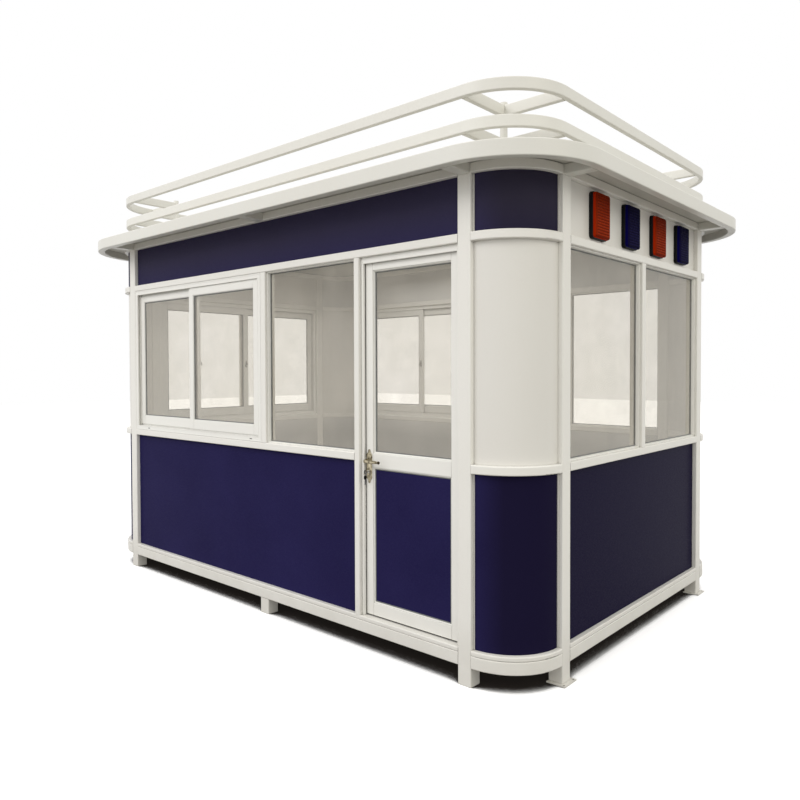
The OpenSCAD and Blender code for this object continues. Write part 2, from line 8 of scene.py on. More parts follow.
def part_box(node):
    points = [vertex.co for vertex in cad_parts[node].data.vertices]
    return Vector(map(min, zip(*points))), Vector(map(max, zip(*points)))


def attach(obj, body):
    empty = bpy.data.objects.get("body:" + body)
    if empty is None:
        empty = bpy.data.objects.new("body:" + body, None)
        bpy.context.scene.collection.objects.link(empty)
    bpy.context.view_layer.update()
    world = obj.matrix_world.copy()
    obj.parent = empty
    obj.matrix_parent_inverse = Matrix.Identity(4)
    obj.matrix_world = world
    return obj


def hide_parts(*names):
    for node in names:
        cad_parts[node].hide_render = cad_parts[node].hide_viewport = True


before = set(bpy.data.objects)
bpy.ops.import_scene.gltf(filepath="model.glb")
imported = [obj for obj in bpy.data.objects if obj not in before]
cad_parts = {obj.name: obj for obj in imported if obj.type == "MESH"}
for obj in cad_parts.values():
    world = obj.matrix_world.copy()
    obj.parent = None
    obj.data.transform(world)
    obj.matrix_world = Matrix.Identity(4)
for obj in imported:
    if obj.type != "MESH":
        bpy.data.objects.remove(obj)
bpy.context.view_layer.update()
MM = 0.001

# Camera of the photograph: metres, degrees and pixels of the 800 x 800 picture
PICTURE_SIDE = 800
CAMERA_PLACE = Vector((3.711, -4.115, 1.575))
CAMERA_YAW = radians(41.64)
CAMERA_PITCH = radians(-1.22)
CAMERA_ROLL = radians(-0.17)
FOCAL_PIXELS = 705
CENTRE_PIXEL = (399.7, 384.3)
SENSOR_MM = 36


def srgb(red, green, blue):
    """A colour given in 0 to 255 as linear light with full alpha, by the sRGB curve."""
    def linear(value):
        share = value / 255
        return share / 12.92 if share <= 0.04045 else ((share + 0.055) / 1.055) ** 2.4
    return (linear(red), linear(green), linear(blue), 1.0)


# Shader building blocks

NOISE_RANGE = (0.3, 0.7)


def add(tree, kind, inputs=None, **settings):
    """A new node whose inputs are set to values or linked to sockets."""
    node = tree.nodes.new("ShaderNode" + kind)
    for name, value in settings.items():
        setattr(node, name, value)
    for name, value in (inputs or {}).items():
        if isinstance(value, bpy.types.NodeSocket):
            tree.links.new(value, node.inputs[name])
        else:
            node.inputs[name].default_value = value
    return node


def empty_material(name):
    material = bpy.data.materials.new(name)
    material.use_nodes = True
    material.node_tree.nodes.clear()
    return material


def close_material(material, shader):
    tree = material.node_tree
    output = add(tree, "OutputMaterial")
    tree.links.new(shader, output.inputs["Surface"])
    return material


def close_coated(material, settings):
    """Closes a material with one principled surface."""
    shader = add(material.node_tree, "BsdfPrincipled", settings)
    return close_material(material, shader.outputs["BSDF"])


def place(tree, stretch=(1, 1, 1)):
    """Coordinates in metres in the part's own frame, stretched along its axes."""
    coordinates = add(tree, "TexCoord").outputs["Object"]
    return add(tree, "Mapping", {"Vector": coordinates, "Scale": stretch}).outputs["Vector"]


def noise(tree, scale, detail, stretch=(1, 1, 1)):
    """Soft noise with about so many spots to the metre, and so many finer layers over them."""
    settings = {"Vector": place(tree, stretch), "Scale": scale, "Detail": detail}
    return add(tree, "TexNoise", settings).outputs["Fac"]


def spread(tree, value, target, source=NOISE_RANGE):
    """A value moved from its source range, by default that of a noise, into a target range."""
    limits = {"From Min": source[0], "From Max": source[1], "To Min": target[0], "To Max": target[1]}
    return add(tree, "MapRange", {"Value": value, **limits}).outputs["Result"]


def ramp(tree, value, *stops):
    """Colour picked along stops of (position, colour)."""
    node = add(tree, "ValToRGB", {"Fac": value})
    elements = node.color_ramp.elements
    while len(elements) < len(stops):
        elements.new(1.0)
    for element, (position, colour) in zip(elements, stops):
        element.position = position
        element.color = colour
    return node.outputs["Color"]


def blend_colour(tree, share, first, second):
    inputs = {"Fac": share, "Color1": first, "Color2": second}
    return add(tree, "MixRGB", inputs).outputs["Color"]


def product(tree, first, second):
    return add(tree, "Math", {0: first, 1: second}, operation="MULTIPLY").outputs[0]


def bump(tree, height, depth_mm, strength):
    settings = {"Height": height, "Distance": depth_mm * MM, "Strength": strength}
    return add(tree, "Bump", settings).outputs["Normal"]


def height_of(tree):
    """Height above the ground in metres."""
    coordinates = add(tree, "TexCoord").outputs["Object"]
    return add(tree, "SeparateXYZ", {"Vector": coordinates}).outputs["Z"]


def facing_of(tree):
    """Direction in which a face looks, as three sockets."""
    direction = add(tree, "TexCoord").outputs["Normal"]
    return add(tree, "SeparateXYZ", {"Vector": direction}).outputs


def outer_side(tree):
    """1 on faces that look away from the middle of the booth, 0 on faces that look into the room."""
    coordinates = add(tree, "TexCoord")
    flat = add(tree, "VectorMath", {0: coordinates.outputs["Object"], 1: (1, 1, 0)}, operation="MULTIPLY")
    facing = add(tree, "VectorMath", {0: flat.outputs["Vector"], 1: coordinates.outputs["Normal"]},
                 operation="DOT_PRODUCT")
    return add(tree, "Math", {0: facing.outputs["Value"], 1: 0.0}, operation="GREATER_THAN").outputs[0]


def open_share(tree, reach_mm, samples):
    """How open a place is: 1 on a free face, towards 0 in a joint or corner."""
    return add(tree, "AmbientOcclusion", {"Distance": reach_mm * MM}, samples=samples).outputs["AO"]


# Materials

# Painted shade in joints and corners: reach in millimetres, and how open a place is where the painted
# shade is full and where it ends
JOINT_SHADE_REACH = 16
JOINT_SHADE_SAMPLES = 4
JOINT_SHADE_OPEN = (0.15, 0.6)

# Heights in metres between which a tone changes: dust near the ground, painted shade below the sill,
# painted shade and soffit reflection under the eave, and painted shade at the top of the lenses
LOW_DUST = (0.0, 0.34)
SILL_SHADE = (0.9, 1.1)
EAVE_SHADE = (2.1, 2.4)
LENS_SHADE = (2.36, 2.52)

# Parts of a face's direction, along X or Z, between which painted light or shade changes: painted shade on
# the lamp end, painted light on the lens ribs and at the lens sides
END_SHADE_TURN = (0.0, 0.5)
RIB_LIGHT_TURN = (-0.5, 0.5)
LENS_SIDE_LIGHT_TURN = (0.2, 0.8)

SPECK_TONE = srgb(190, 184, 168)
DUST_TONE = srgb(168, 160, 142)
# Painted shade in joints and corners
JOINT_SHADE_TONE = srgb(92, 88, 80)
NAVY_DARK = srgb(31, 27, 66)
NAVY_BRIGHT = srgb(37, 33, 75)
# Painted reflection haze on the navy
NAVY_PAINTED_SHEEN = srgb(86, 84, 122)
# Painted shade on the lamp end
NAVY_END_SHADE = srgb(27, 23, 49)
# Painted shade and painted reflection of the soffit under the eave
NAVY_SOFFIT_REFLECTION = srgb(70, 66, 78)
LINING_DARK = srgb(213, 212, 208)
LINING_BRIGHT = srgb(221, 220, 216)
# Painted shade on the room side below the sill
LINING_LOW_SHADE = srgb(150, 149, 146)
GLASS_GREY = srgb(251, 250, 247)
GLASS_CLEAR = srgb(253, 252, 250)
GLASS_FILM = srgb(228, 221, 210)
VINYL_DARK = srgb(158, 156, 150)
VINYL_BRIGHT = srgb(178, 176, 170)
VINYL_WORN = srgb(186, 182, 174)


def paint(name, colour, shade, roughness, peel_mm=0.05, joint_shade=0.65):
    """Sprayed coat: slow drift of tone, fine orange peel, painted shade in joints and corners, and dust
    near the ground.
    """
    material = empty_material(name)
    tree = material.node_tree
    drift = ramp(tree, noise(tree, 1.3, 4), (0.3, shade), (0.7, colour))
    speck = spread(tree, noise(tree, 160, 2), (0.0, 0.06), (0.55, 0.75))
    specked = blend_colour(tree, speck, drift, SPECK_TONE)
    low = spread(tree, height_of(tree), (0.45, 0.0), LOW_DUST)
    dusty = blend_colour(tree, product(tree, low, noise(tree, 7, 5)), specked, DUST_TONE)
    # Painted shade: the coat goes darker where joints, corners and recesses close it in.
    joint_shade_share = spread(tree, open_share(tree, JOINT_SHADE_REACH, JOINT_SHADE_SAMPLES), (joint_shade, 0.0), JOINT_SHADE_OPEN)
    tone = blend_colour(tree, joint_shade_share, dusty, JOINT_SHADE_TONE)
    gloss = spread(tree, noise(tree, 24, 4), (roughness - 0.03, roughness + 0.04))
    peel = bump(tree, noise(tree, 420, 2), peel_mm, 0.35)
    settings = {"Base Color": tone, "Roughness": gloss, "Normal": peel, "Specular IOR Level": 0.35}
    return close_coated(material, settings)


def navy_sheet(name):
    """Coated sheet: navy outside with a painted reflection haze, painted shade on the lamp end, painted
    shade and soffit reflection under the eave, and pale on the room side with painted shade below the
    sill.
    """
    material = empty_material(name)
    tree = material.node_tree
    blue = ramp(tree, noise(tree, 2.2, 5), (0.25, NAVY_DARK), (0.75, NAVY_BRIGHT))
    grain = noise(tree, 240, 3)
    # Painted reflection: a lighter blue-grey haze, spotted by a fine grain.
    reflection_haze = blend_colour(tree, spread(tree, grain, (0.0, 0.07)), blue, NAVY_PAINTED_SHEEN)
    # Painted shade: the navy turns deeper where the sheet faces the lamp end.
    end = spread(tree, facing_of(tree)["X"], (0.0, 1.0), END_SHADE_TURN)
    deep = blend_colour(tree, end, reflection_haze, NAVY_END_SHADE)
    # Painted shade and painted reflection of the soffit: the navy turns greyer and duller under the eave.
    eave_painted_share = spread(tree, height_of(tree), (0.0, 0.5), EAVE_SHADE)
    eave_painted = blend_colour(tree, eave_painted_share, deep, NAVY_SOFFIT_REFLECTION)
    lining = ramp(tree, noise(tree, 3, 4), (0.3, LINING_DARK), (0.7, LINING_BRIGHT))
    # Painted shade: the room side goes darker below the sill.
    below_sill = spread(tree, height_of(tree), (0.5, 0.0), SILL_SHADE)
    lining_shaded = blend_colour(tree, below_sill, lining, LINING_LOW_SHADE)
    tone = blend_colour(tree, outer_side(tree), lining_shaded, eave_painted)
    gloss = spread(tree, grain, (0.24, 0.30))
    peel = bump(tree, noise(tree, 300, 2), 0.03, 0.3)
    return close_coated(material, {"Base Color": tone, "Roughness": gloss, "Normal": peel, "IOR": 1.06})


def clear_glass(name):
    """Window pane: see-through with a trace of grey, mirror gloss at a slant and a thin film of dust."""
    material = empty_material(name)
    tree = material.node_tree
    tint = ramp(tree, noise(tree, 1.5, 3), (0.3, GLASS_GREY), (0.7, GLASS_CLEAR))
    clear = add(tree, "BsdfTransparent", {"Color": tint}).outputs["BSDF"]
    mirror = add(tree, "BsdfGlossy", {"Roughness": 0.02}).outputs["BSDF"]
    slant = add(tree, "Fresnel", {"IOR": 1.5}).outputs["Fac"]
    behind = add(tree, "NewGeometry").outputs["Backfacing"]
    front = add(tree, "Math", {0: 1.0, 1: behind}, operation="SUBTRACT").outputs[0]
    pane = add(tree, "MixShader", {0: product(tree, slant, front), 1: clear, 2: mirror}).outputs["Shader"]
    film = add(tree, "BsdfDiffuse", {"Color": GLASS_FILM}).outputs["BSDF"]
    dust = spread(tree, noise(tree, 5, 6), (0.08, 0.14))
    shader = add(tree, "MixShader", {0: dust, 1: pane, 2: film}).outputs["Shader"]
    return close_material(material, shader)


def aged_metal(name, bright, dark, roughness, grain):
    """Plated metal with darker patina patches and fine brushing."""
    material = empty_material(name)
    tree = material.node_tree
    tone = ramp(tree, noise(tree, 60, 5), (0.35, dark), (0.65, bright))
    gloss = spread(tree, noise(tree, 90, 4), (roughness - 0.08, roughness + 0.12))
    brushed = bump(tree, noise(tree, grain, 2, stretch=(1, 1, 0.1)), 0.05, 0.5)
    settings = {"Base Color": tone, "Roughness": gloss, "Normal": brushed, "Metallic": 1.0}
    return close_coated(material, settings)


def vinyl_floor(name):
    """Grey floor covering with a fine flake and worn patches."""
    material = empty_material(name)
    tree = material.node_tree
    flake = ramp(tree, noise(tree, 220, 3), (0.4, VINYL_DARK), (0.6, VINYL_BRIGHT))
    worn = blend_colour(tree, spread(tree, noise(tree, 2, 5), (0.0, 0.4)), flake, VINYL_WORN)
    gloss = spread(tree, noise(tree, 8, 4), (0.45, 0.6))
    grain = bump(tree, noise(tree, 300, 2), 0.1, 0.4)
    return close_coated(material, {"Base Color": worn, "Roughness": gloss, "Normal": grain})


def moulding(name, deep, worn):
    """Plastic or rubber with a fine moulded grain."""
    material = empty_material(name)
    tree = material.node_tree
    tone = ramp(tree, noise(tree, 30, 4), (0.3, deep), (0.7, worn))
    gloss = spread(tree, noise(tree, 45, 3), (0.38, 0.55))
    grain = bump(tree, noise(tree, 900, 2), 0.05, 0.5)
    return close_coated(material, {"Base Color": tone, "Roughness": gloss, "Normal": grain, "IOR": 1.2})


def lamp_lens(name, deep, bright, side):
    """Coloured plastic of a lamp: painted light on the ribs, lighter where they face up, painted shade at
    the top, and painted light in a clearer colour on the sides.
    """
    material = empty_material(name)
    tree = material.node_tree
    facing = facing_of(tree)
    # Painted light: rib faces that look up are lighter, faces that look down darker.
    ribs = spread(tree, facing["Z"], (0.0, 1.0), RIB_LIGHT_TURN)
    front = ramp(tree, ribs, (0.1, deep), (0.9, bright))
    cloudy = blend_colour(tree, spread(tree, noise(tree, 14, 2), (0.0, 0.2)), front, deep)
    # Painted shade at the top of the lens.
    shaded = blend_colour(tree, spread(tree, height_of(tree), (0.0, 0.8), LENS_SHADE), cloudy, deep)
    # Painted light: the sides take the clearer side colour.
    tone = blend_colour(tree, spread(tree, facing["X"], (1.0, 0.0), LENS_SIDE_LIGHT_TURN), shaded, side)
    gloss = spread(tree, noise(tree, 60, 3), (0.22, 0.32))
    return close_coated(material, {"Base Color": tone, "Roughness": gloss, "IOR": 1.03})


MATERIALS = {
    "frame_white": paint("frame_white", srgb(235, 233, 227), srgb(232, 230, 223), 0.36),
    "panel_white": paint("panel_white", srgb(225, 223, 217), srgb(223, 220, 213), 0.34, peel_mm=0.03),
    "window_white": paint("window_white", srgb(237, 236, 230), srgb(234, 232, 226), 0.34),
    "roof_white": paint("roof_white", srgb(223, 222, 215), srgb(220, 218, 210), 0.38, joint_shade=0.25),
    "roof_dust": paint("roof_dust", srgb(206, 204, 196), srgb(196, 193, 184), 0.45),
    "hinge_white": paint("hinge_white", srgb(228, 225, 214), srgb(220, 217, 206), 0.32),
    "panel_navy": navy_sheet("panel_navy"),
    "glass": clear_glass("glass"),
    "handle_bronze": aged_metal("handle_bronze", srgb(192, 182, 156), srgb(96, 88, 70), 0.30, 700),
    "bronze_dark": aged_metal("bronze_dark", srgb(88, 76, 58), srgb(46, 39, 30), 0.38, 700),
    "lock_steel": aged_metal("lock_steel", srgb(196, 194, 188), srgb(140, 138, 132), 0.28, 900),
    "floor_grey": vinyl_floor("floor_grey"),
    "lamp_black": moulding("lamp_black", srgb(12, 12, 13), srgb(22, 22, 24)),
    "grey_rubber": moulding("grey_rubber", srgb(112, 114, 112), srgb(128, 130, 127)),
    # Lens colours: deep, bright, and the painted light on the sides.
    "lens_red": lamp_lens("lens_red", srgb(96, 27, 11), srgb(166, 55, 21), srgb(176, 42, 8)),
    "lens_blue": lamp_lens("lens_blue", srgb(14, 12, 34), srgb(26, 22, 68), srgb(14, 10, 80)),
}

FINISH_NODES = {
    "frame_white": ["base_beams", "foot_plates", "mid_legs", "side_posts", "end_posts", "front_rails",
                    "back_rails", "end_rails", "corner_rails", "window_mullions", "door_post"],
    "panel_navy": ["side_lower_panels", "side_upper_panels", "end_lower_panels", "corner_navy_panels",
                   "door_panel"],
    "panel_white": ["end_upper_panels", "corner_white_panels"],
    "glass": ["fixed_glass", "sash_glass", "door_glass"],
    "window_white": ["glazing_beads", "sliding_frame", "sashes", "door_frame", "door_leaf"],
    "handle_bronze": ["handle_plates", "levers"],
    "lock_steel": ["lock_cylinder"],
    "hinge_white": ["hinge_pins", "hinge_barrels"],
    "floor_grey": ["floor_deck"],
    "roof_dust": ["roof_deck"],
    "roof_white": ["eave_fascia", "eave_bends", "outriggers", "lower_hoop", "upper_hoop",
                   "hoop_bends", "hoop_braces", "hoop_uprights"],
    "lamp_black": ["lamp_housings"],
    "lens_red": ["red_lenses"],
    "lens_blue": ["blue_lenses"],
}


def dress_nodes():
    """Every carried-over node gets its finish."""
    for finish, nodes in FINISH_NODES.items():
        for node in nodes:
            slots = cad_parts[node].data.materials
            slots.clear()
            slots.append(MATERIALS[finish])


# Building blocks for pieces

FLAT_ANGLE = radians(20)
WELD = 0.01 * MM
TOUCH = 1 * MM
EDGE_SOFT = 1.5 * MM
FINE_SOFT = 0.4 * MM
ROUND_SIDES = 24
SMALL_ROUND_SIDES = 20


def in_mm(points):
    """Points given in millimetres, in metres."""
    return [tuple(value * MM for value in point) for point in points]


def corners_of(points):
    """Lowest and highest corner of the box round some points."""
    return tuple(Vector(pick(point[i] for point in points) for i in range(3)) for pick in (min, max))


def solid_boxes(node):
    """Lowest and highest corner of each separate solid of a node, in order along X, Y and Z."""
    shape = bmesh.new()
    shape.from_mesh(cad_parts[node].data)
    bmesh.ops.remove_doubles(shape, verts=shape.verts, dist=WELD)
    unseen = set(shape.verts)
    boxes = []
    while unseen:
        island = [unseen.pop()]
        for vertex in island:
            near = {edge.other_vert(vertex) for edge in vertex.link_edges} & unseen
            unseen -= near
            island.extend(near)
        boxes.append(corners_of([vertex.co for vertex in island]))
    shape.free()
    return sorted(boxes, key=lambda box: tuple(round(value, 3) for value in box[0]))


def wall_turn(low, high):
    """Turn that brings wall directions (along, inward, up) to the wall in which a flat box lies."""
    middle = (low + high) / 2
    if high.x - low.x > high.y - low.y:
        angle = 0 if middle.y < 0 else pi
    else:
        angle = pi / 2 if middle.x > 0 else -pi / 2
    return Matrix.Rotation(angle, 4, "Z")


def in_wall(box, turn):
    """Corners of a box in wall directions."""
    return corners_of([turn.inverted() @ corner for corner in box])


def join(shape, part):
    """Adds a finished part to a shape."""
    bmesh.ops.recalc_face_normals(part, faces=part.faces)
    mesh = bpy.data.meshes.new("part")
    part.to_mesh(mesh)
    part.free()
    shape.from_mesh(mesh)
    bpy.data.meshes.remove(mesh)


def add_bar(shape, low, high, soft, turn=Matrix()):
    """Bar between two corners, with softened edges."""
    part = bmesh.new()
    bmesh.ops.create_cube(part, size=1.0)
    for vertex in part.verts:
        share = vertex.co + Vector((0.5, 0.5, 0.5))
        vertex.co = [low[i] + share[i] * (high[i] - low[i]) for i in range(3)]
    bmesh.ops.bevel(part, geom=part.edges[:], offset=soft, segments=2, profile=0.5, affect="EDGES")
    part.transform(turn)
    join(shape, part)


def bridge(part, loops, closed):
    """Faces between loops that have the same number of points, and back to the first if closed."""
    pairs = list(zip(loops, loops[1:]))
    if closed:
        pairs.append((loops[-1], loops[0]))
    for first, second in pairs:
        count = len(first)
        for i in range(count):
            j = (i + 1) % count
            part.faces.new((first[i], first[j], second[j], second[i]))


def add_loft(shape, rings, turn=Matrix(), closed=False):
    """Skin over rings of points, capped at both ends or closed on itself."""
    part = bmesh.new()
    loops = [[part.verts.new(point) for point in ring] for ring in rings]
    bridge(part, loops, closed)
    if not closed:
        part.faces.new(loops[0])
        part.faces.new(loops[-1])
    part.transform(turn)
    join(shape, part)


def add_ring(shape, low, high, profile, turn=Matrix()):
    """Profile of (inset, depth) points swept round a rectangle in a wall, with mitred corners."""
    corners = [(low.x, low.z, 1, 1), (high.x, low.z, -1, 1),
               (high.x, high.z, -1, -1), (low.x, high.z, 1, -1)]
    loops = [[(along + side * inset, low.y + depth, up + rise * inset) for inset, depth in profile]
             for along, up, side, rise in corners]
    add_loft(shape, loops, turn, closed=True)


def angles_round(count):
    """Angles in equal steps once round."""
    return [2 * pi * i / count for i in range(count)]


def circle(radius, height=0.0, count=ROUND_SIDES):
    return [Vector((radius * cos(a), radius * sin(a), height)) for a in angles_round(count)]


def add_lathe(shape, profile, turn, count=ROUND_SIDES, hollow=False):
    """Solid turned about Z from (radius, height) points; hollow where the points run round a hole."""
    add_loft(shape, [circle(radius, height, count) for radius, height in profile], turn, hollow)


def add_sweep(shape, stations, turn, count=ROUND_SIDES):
    """Round bar through stations of (point, radius) that lie in a plane across Z."""
    up = Vector((0, 0, 1))
    rings = []
    for i, (point, radius) in enumerate(stations):
        ahead = stations[min(i + 1, len(stations) - 1)][0] - stations[max(i - 1, 0)][0]
        side = up.cross(ahead.normalized())
        rings.append([point + radius * (cos(a) * side + sin(a) * up) for a in angles_round(count)])
    add_loft(shape, rings, turn)


def finish_piece(shape, name, body, slot, replaces=(), material=None):
    """Object from a shape, shaded flat on flats and smooth on rounds, riding on a body."""
    mesh = bpy.data.meshes.new(name)
    shape.to_mesh(mesh)
    shape.free()
    mesh.shade_smooth()
    mesh.set_sharp_from_angle(angle=FLAT_ANGLE)
    mesh.materials.append(MATERIALS[material or slot])
    piece = bpy.data.objects.new(name, mesh)
    bpy.context.scene.collection.objects.link(piece)
    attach(piece, body)
    if replaces:
        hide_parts(*replaces)


# Windows

SASH_SOFT = 2.0 * MM
SASH_STILE_W = 50 * MM
TONGUE_UNDER = 22 * MM
TONGUE_OVER = 18 * MM
TONGUE_SIDE = 5 * MM
PANE_STEP = 5 * MM
PANE_STEP_TOP = 3 * MM
PANE_STEP_BACK = 4 * MM

# Section of a window's outer frame: (inset, depth) of its face and depths of its tracks, in millimetres
SLIDE_FACE = ((0, 3), (2, 0), (8, 0), (9, 1.5), (29, 1.5), (30, 0), (32, 0), (33, 1))
SLIDE_FRAME_W = SLIDE_FACE[-1][0] * MM
SLIDE_CHAMFER = 1 * MM
TRACK_DEPTHS = ((8, 22), (34, 48))
TRACK_INSET = 21 * MM

DRAIN_SHARES = (0.12, 0.93)
DRAIN_L = 24 * MM
DRAIN_H = 5 * MM
DRAIN_NEAR = 1 * MM
DRAIN_FAR = 3 * MM

BEAD_W = 10 * MM
BEAD_FLAT = 5.5 * MM
BEAD_BREAK = 7.5 * MM
BEAD_DROP = 1 * MM
BEAD_SLOPE_END = 0.7

LATCH_Z = 1.63
LATCH_W = 14 * MM
LATCH_T = 5 * MM
LATCH_TALL = 64 * MM
LATCH_HUB = ((9, 0), (9, 9), (7.5, 11), (0.5, 11.5))
LATCH_ARM = 30 * MM
LATCH_ARM_OUT = 8 * MM
LATCH_ARM_R = 5 * MM
LATCH_ARM_TAPER = 2 * MM
LATCH_ARM_STEPS = 8


def pane_in(panes, low, high, turn):
    """The pane that lies inside a frame, both in wall directions."""
    for pane in panes:
        inner = in_wall(pane, turn)
        if all(low[i] <= inner[0][i] and inner[1][i] <= high[i] for i in range(3)):
            return inner


def add_pane_step(shape, pane, turn):
    """Narrow step round both faces of a pane, against the sash that holds it."""
    low, high = pane
    for face, out in ((low.y, -PANE_STEP_BACK), (high.y, PANE_STEP_BACK)):
        profile = [(0, 0), (PANE_STEP, 0), (PANE_STEP_TOP, out), (0, out)]
        add_ring(shape, Vector((low.x, face, low.z)), high, profile, turn)


def make_sashes():
    """Sashes of butted stiles and rails on tongues, with a step round the glass."""
    shape = bmesh.new()
    panes = solid_boxes("sash_glass")
    for box in solid_boxes("sashes"):
        turn = wall_turn(*box)
        low, high = in_wall(box, turn)
        glass = pane_in(panes, low, high, turn)
        foot, head = low.z + TONGUE_UNDER, high.z - TONGUE_OVER
        for x0, x1 in ((low.x, glass[0].x), (glass[1].x, high.x)):
            add_bar(shape, (x0, low.y, foot), (x1, high.y, head), SASH_SOFT, turn)
        for z0, z1 in ((foot, glass[0].z), (glass[1].z, head)):
            add_bar(shape, (glass[0].x, low.y, z0), (glass[1].x, high.y, z1), SASH_SOFT, turn)
        for z0, z1 in ((low.z, foot + SASH_SOFT), (head - SASH_SOFT, high.z)):
            add_bar(shape, (low.x + SASH_SOFT, low.y + TONGUE_SIDE, z0),
                    (high.x - SASH_SOFT, high.y - TONGUE_SIDE, z1), SASH_SOFT / 2, turn)
        add_pane_step(shape, glass, turn)
    finish_piece(shape, "sash_bars", "booth", "window_white", ["sashes"])


def make_slide_frames():
    """Outer frames of the sliding windows: mitred, with two tracks, raised lips, and black patches of
    painted shade where the drain slots are.
    """
    shape = bmesh.new()
    slot_shades = bmesh.new()
    wide = SLIDE_FRAME_W
    for box in solid_boxes("sliding_frame"):
        turn = wall_turn(*box)
        low, high = in_wall(box, turn)
        depth = high.y - low.y
        profile = in_mm(SLIDE_FACE)
        for near, far in in_mm(TRACK_DEPTHS):
            profile += [(wide, near), (TRACK_INSET, near), (TRACK_INSET, far), (wide, far)]
        profile += [(wide, depth - SLIDE_CHAMFER), (wide - SLIDE_CHAMFER, depth), (0, depth)]
        add_ring(shape, low, high, profile, turn)
        level = low.z + wide / 2
        # Painted shade: black patches stand for the dark inside of the drain slots.
        for share in DRAIN_SHARES:
            along = low.x + share * (high.x - low.x)
            add_bar(slot_shades, (along - DRAIN_L / 2, low.y + DRAIN_NEAR, level - DRAIN_H / 2),
                    (along + DRAIN_L / 2, low.y + DRAIN_FAR, level + DRAIN_H / 2), FINE_SOFT, turn)
    finish_piece(shape, "slide_frames", "booth", "window_white", ["sliding_frame"])
    finish_piece(slot_shades, "drain_slot_shades", "booth", "lamp_black")


def make_glazing_beads():
    """Snap-in beads on both faces of the fixed panes, with a sloped face towards the glass."""
    shape = bmesh.new()
    panes = solid_boxes("fixed_glass")
    for box in solid_boxes("glazing_beads"):
        turn = wall_turn(*box)
        low, high = in_wall(box, turn)
        deep = high.y - low.y
        outside = any(abs(in_wall(pane, turn)[0].y - high.y) < TOUCH for pane in panes)
        front = [(0, 0), (BEAD_FLAT, 0), (BEAD_BREAK, BEAD_DROP), (BEAD_W, deep * BEAD_SLOPE_END),
                 (BEAD_W, deep), (0, deep)]
        profile = front if outside else [(inset, deep - depth) for inset, depth in front]
        add_ring(shape, low, high, profile, turn)
    finish_piece(shape, "bead_frames", "booth", "window_white", ["glazing_beads"])


def latch_arm():
    """Stations along the curved arm of a latch, from its hub to its thin end."""
    stations = []
    for i in range(LATCH_ARM_STEPS + 1):
        share = i / LATCH_ARM_STEPS
        reach = LATCH_ARM * share
        point = Vector((reach * cos(share), reach * sin(share), LATCH_ARM_OUT))
        stations.append((point, LATCH_ARM_R - share * LATCH_ARM_TAPER))
    return stations


def make_latches():
    """Crescent latch on the room side of each inner sash, at its meeting stile."""
    shape = bmesh.new()
    sashes = solid_boxes("sashes")
    for box in sashes:
        turn = wall_turn(*box)
        low, high = in_wall(box, turn)
        others = [in_wall(other, turn) for other in sashes
                  if wall_turn(*other) == turn and other is not box]
        if high.y < max(other[1].y for other in others):
            continue
        meets_right = others[0][0].x > low.x
        along = high.x - SASH_STILE_W / 2 if meets_right else low.x + SASH_STILE_W / 2
        add_bar(shape, (along - LATCH_W / 2, high.y, LATCH_Z - LATCH_TALL / 2),
                (along + LATCH_W / 2, high.y + LATCH_T, LATCH_Z + LATCH_TALL / 2), EDGE_SOFT, turn)
        spot = Matrix.Translation((along, high.y + LATCH_T, LATCH_Z))
        hub = turn @ spot @ Matrix.Rotation(-pi / 2, 4, "X")
        add_lathe(shape, in_mm(LATCH_HUB), hub)
        add_sweep(shape, latch_arm(), hub, SMALL_ROUND_SIDES)
    finish_piece(shape, "sash_latches", "booth", "lock_steel")


# Door

LEAF_SOFT = 2.5 * MM
DOOR_BEAD_W = 8 * MM
DOOR_BEAD_TOP = 4 * MM
DOOR_BEAD_EDGE = 0.3
DOOR_BEAD_BACK = 6 * MM
JAMB_W = 8 * MM
JAMB_LAP = 2 * MM
STOP_T = 14 * MM
HEAD_H = 25 * MM
SWEEP_BACK = 5 * MM
SWEEP_DROP = 4.5 * MM
SWEEP_LAP = 1 * MM
SWEEP_END_SOFT = 0.5 * MM
SEAL_W = 6 * MM
SEAL_PROUD = 1 * MM


def make_door_leaf():
    """Two stiles, three rails between them, and beads that hold the glass and the panel."""
    shape = bmesh.new()
    low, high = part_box("door_leaf")
    glass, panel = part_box("door_glass"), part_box("door_panel")
    for x0, x1 in ((low.x, glass[0].x), (glass[1].x, high.x)):
        add_bar(shape, (x0, low.y, low.z), (x1, high.y, high.z), LEAF_SOFT)
    for z0, z1 in ((low.z, panel[0].z), (panel[1].z, glass[0].z), (glass[1].z, high.z)):
        add_bar(shape, (glass[0].x, low.y, z0), (glass[1].x, high.y, z1), LEAF_SOFT)
    for inner, outer in (glass, panel):
        for face, stop in ((inner.y, low.y + DOOR_BEAD_BACK), (outer.y, high.y - DOOR_BEAD_BACK)):
            reach = stop - face
            profile = [(0, 0), (DOOR_BEAD_W, 0), (DOOR_BEAD_W, reach * DOOR_BEAD_EDGE),
                       (DOOR_BEAD_TOP, reach), (0, reach)]
            add_ring(shape, Vector((inner.x, face, inner.z)), outer, profile)
    finish_piece(shape, "door_frame_bars", "door", "window_white", ["door_leaf"])


def make_door_sweep():
    """Rubber strip under the leaf with a block at each end, just clear of the threshold."""
    shape = bmesh.new()
    low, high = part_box("door_leaf")
    front, back = low.y + SWEEP_BACK, high.y - SWEEP_BACK
    foot, top = low.z - SWEEP_DROP, low.z + SWEEP_LAP
    left, right = low.x + SWEEP_BACK, high.x - SWEEP_BACK
    add_bar(shape, (left, front, foot), (right, back, top), EDGE_SOFT)
    for x in (left + SWEEP_BACK, right - SWEEP_BACK):
        add_bar(shape, (x - SWEEP_BACK, front, foot), (x + SWEEP_BACK, front + SWEEP_BACK, top),
                SWEEP_END_SOFT)
    finish_piece(shape, "door_sweep", "door", "lamp_black")


